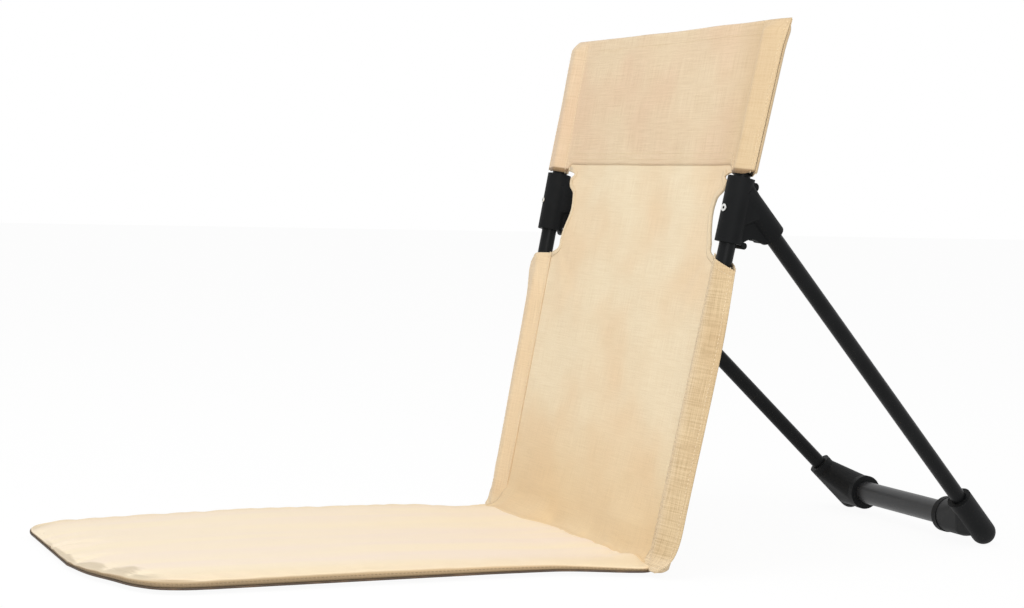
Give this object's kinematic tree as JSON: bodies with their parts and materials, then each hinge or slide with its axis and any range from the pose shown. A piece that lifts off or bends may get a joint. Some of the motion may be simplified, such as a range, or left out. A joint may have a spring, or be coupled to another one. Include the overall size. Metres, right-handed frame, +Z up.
{
  "type": "folding camping chair",
  "caption": "Floor-level folding chair: padded seat mat folding up to a cloth back on side poles, propped by a plugged-in rear leg frame.",
  "frame": {"origin": "on the ground, under the middle of the whole chair", "axes": "+Z up, X across the width with +X at the sitter's left, the sitter faces -Y and the rear legs reach to +Y"},
  "size_m": [0.4362, 0.877, 0.487],
  "materials": {
    "tube_black": "black anodised, satin",
    "tube_grey": "dark grey anodised, satin",
    "plastic_black": "moulded black, fine matt grain",
    "plastic_charcoal": "moulded charcoal, satin",
    "rivet_steel": "bright tubular rivet",
    "cord": "elastic cord with a woven jacket",
    "cloth_back": "beige canvas, plain weave",
    "cloth_head": "double beige canvas, a little darker",
    "cloth_sleeve": "beige canvas, visible weave",
    "cloth_seat": "light cream canvas over padding",
    "cloth_base": "dark brown coated cloth",
    "foam": "soft open foam sheet"
  },
  "bodies": {
    "back_frame": {"pole_lower_left": "tube_black", "pole_upper_left": "tube_black", "pole_foot_left": "plastic_black", "pole_top_left": "plastic_black", "pole_cord_left": "cord", "hub_left": "plastic_black", "rivet_left": "rivet_steel", "sleeve_lower_left": "cloth_sleeve", "sleeve_upper_left": "cloth_sleeve", "pole_lower_right": "tube_black", "pole_upper_right": "tube_black", "pole_foot_right": "plastic_black", "pole_top_right": "plastic_black", "pole_cord_right": "cord", "hub_right": "plastic_black", "rivet_right": "rivet_steel", "sleeve_lower_right": "cloth_sleeve", "sleeve_upper_right": "cloth_sleeve", "back_panel": "cloth_back", "head_panel": "cloth_head", "fold_strip": "cloth_back"},
    "seat": {"seat_top": "cloth_seat", "seat_border": "cloth_seat", "seat_foam": "foam", "seat_base": "cloth_base"},
    "left_leg": {"strut_left": "tube_black", "strut_plug_left": "plastic_black", "leg_cord_left": "cord", "elbow_left": "plastic_charcoal", "cross_bar": "tube_grey"},
    "right_leg": {"strut_right": "tube_black", "strut_plug_right": "plastic_black", "leg_cord_right": "cord", "elbow_right": "plastic_charcoal"}
  },
  "joints": [
    {"name": "seat_fold", "type": "hinge", "parent": "back_frame", "child": "seat", "pos_m": [0, 0.03103, 0.013], "axis": [-1, 0, 0], "range_deg": [0, 99]},
    {"name": "left_strut_pull", "type": "slide", "parent": "back_frame", "child": "left_leg", "axis": [-0.1533, 0.6967, -0.7008], "range_m": [0, 0.03], "stiffness_N_per_m": 150, "springref_m": -0.05},
    {"name": "right_strut_pull", "type": "slide", "parent": "back_frame", "child": "right_leg", "axis": [0.1533, 0.6967, -0.7008], "range_m": [0, 0.03], "stiffness_N_per_m": 150, "springref_m": -0.05}
  ],
  "couplings": [
    {"joint": "right_strut_pull", "follows": "left_strut_pull", "ratio": 1}
  ]
}
